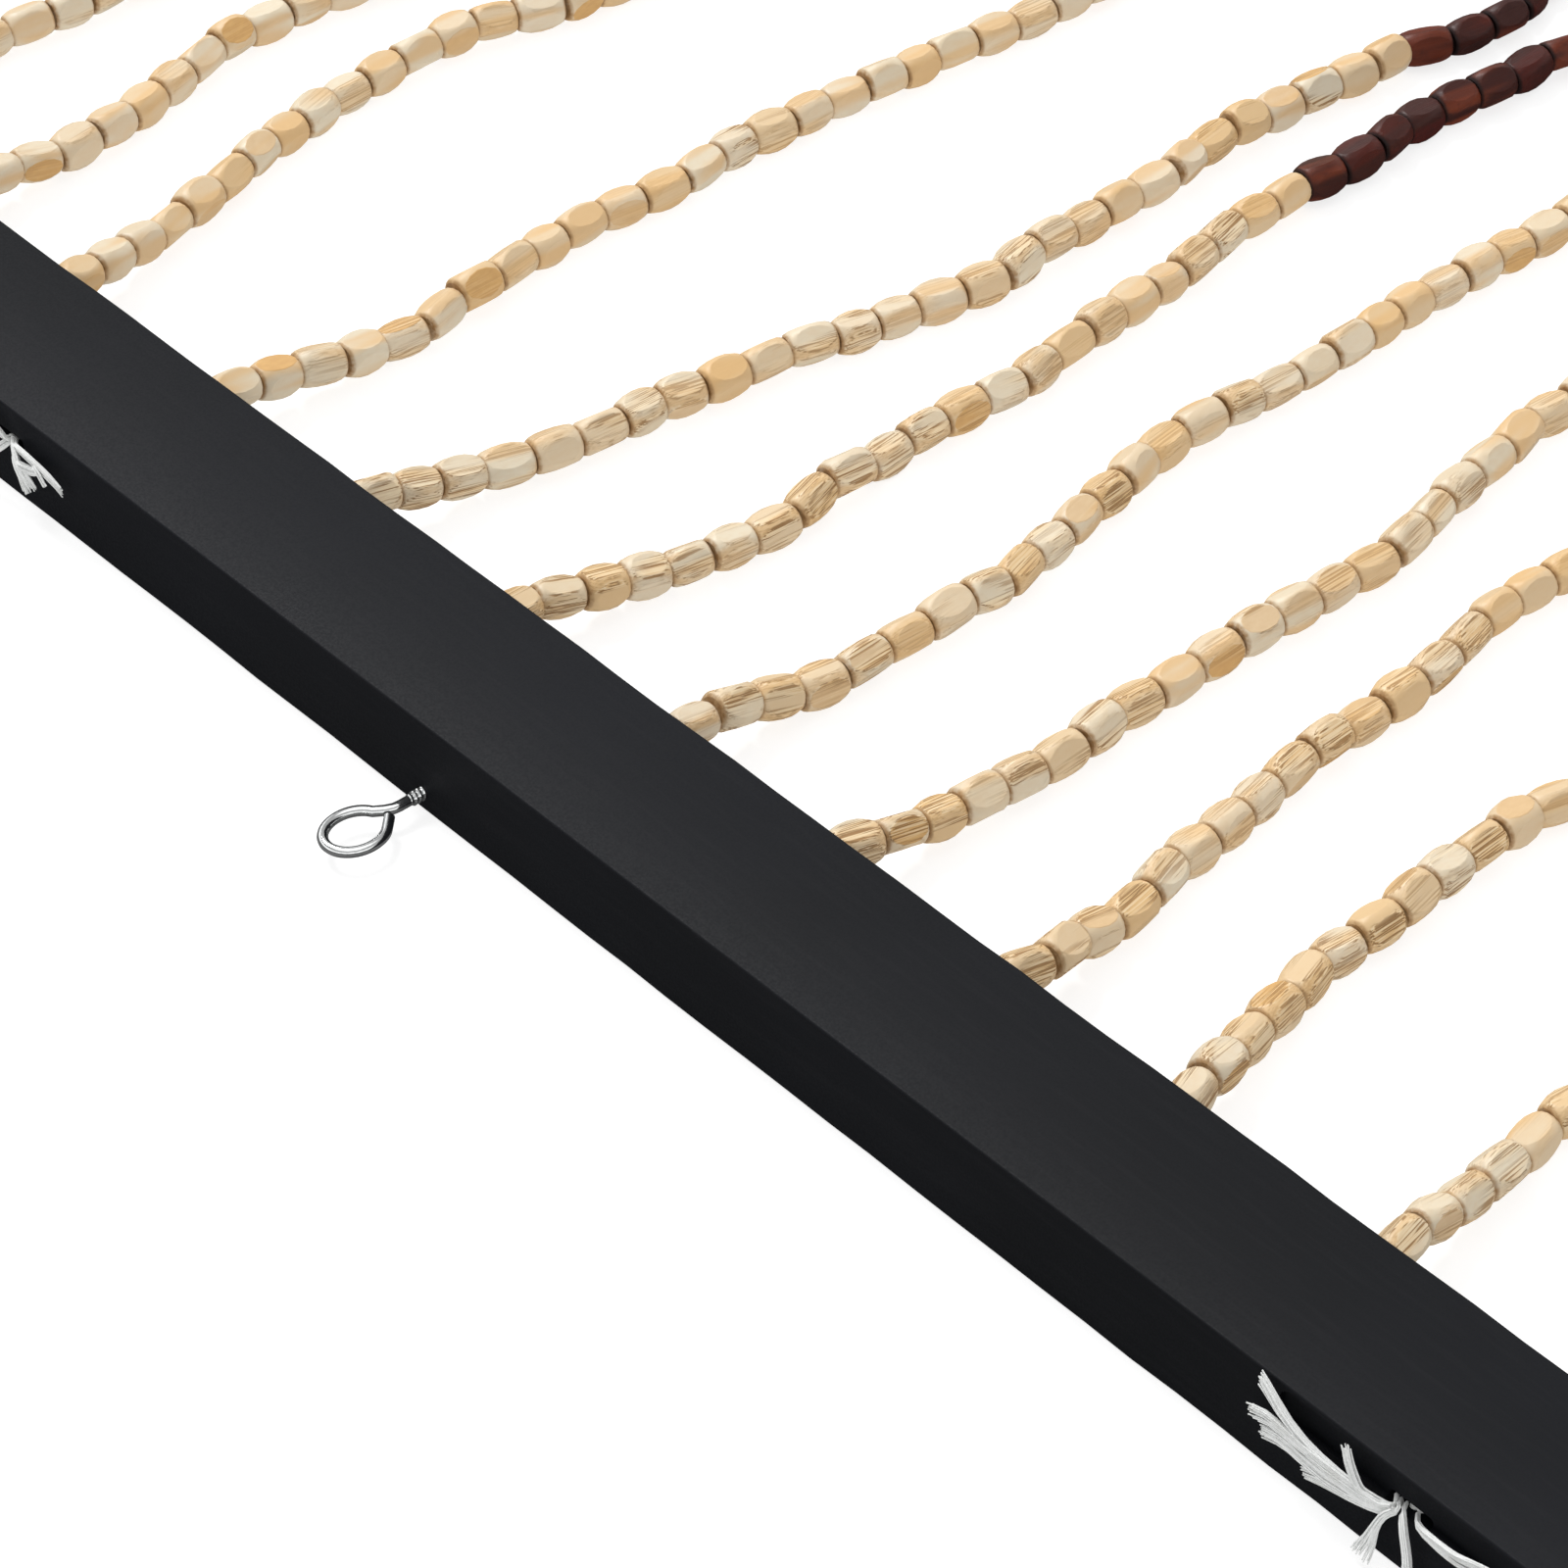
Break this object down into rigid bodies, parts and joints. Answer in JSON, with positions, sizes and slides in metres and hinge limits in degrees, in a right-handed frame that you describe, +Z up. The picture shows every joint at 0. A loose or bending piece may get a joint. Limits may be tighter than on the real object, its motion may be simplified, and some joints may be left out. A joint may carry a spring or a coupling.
{
  "type": "bead curtain with headrail",
  "caption": "Bamboo bead string curtain on a black headrail with screw eyes and frayed string tufts, laid flat.",
  "frame": {"origin": "centre of the headrail's underside, on the surface that the curtain lies on", "axes": "+X along the headrail, +Y along the strands to their free ends, +Z up out of the headrail's wide face"},
  "size_m": [0.9, 2.0062, 0.018],
  "materials": {
    "black_paint": "satin black paint",
    "bamboo": "smooth raw bamboo, partly stained",
    "zinc": "bright zinc plate",
    "string": "frayed white string"
  },
  "bodies": {
    "root": {"headrail": "black_paint", "strands": "bamboo", "screw_eye_1": "zinc", "screw_eye_2": "zinc", "screw_eye_3": "zinc", "tuft_left": "string", "tuft_middle": "string", "tuft_right": "string"}
  },
  "joints": []
}
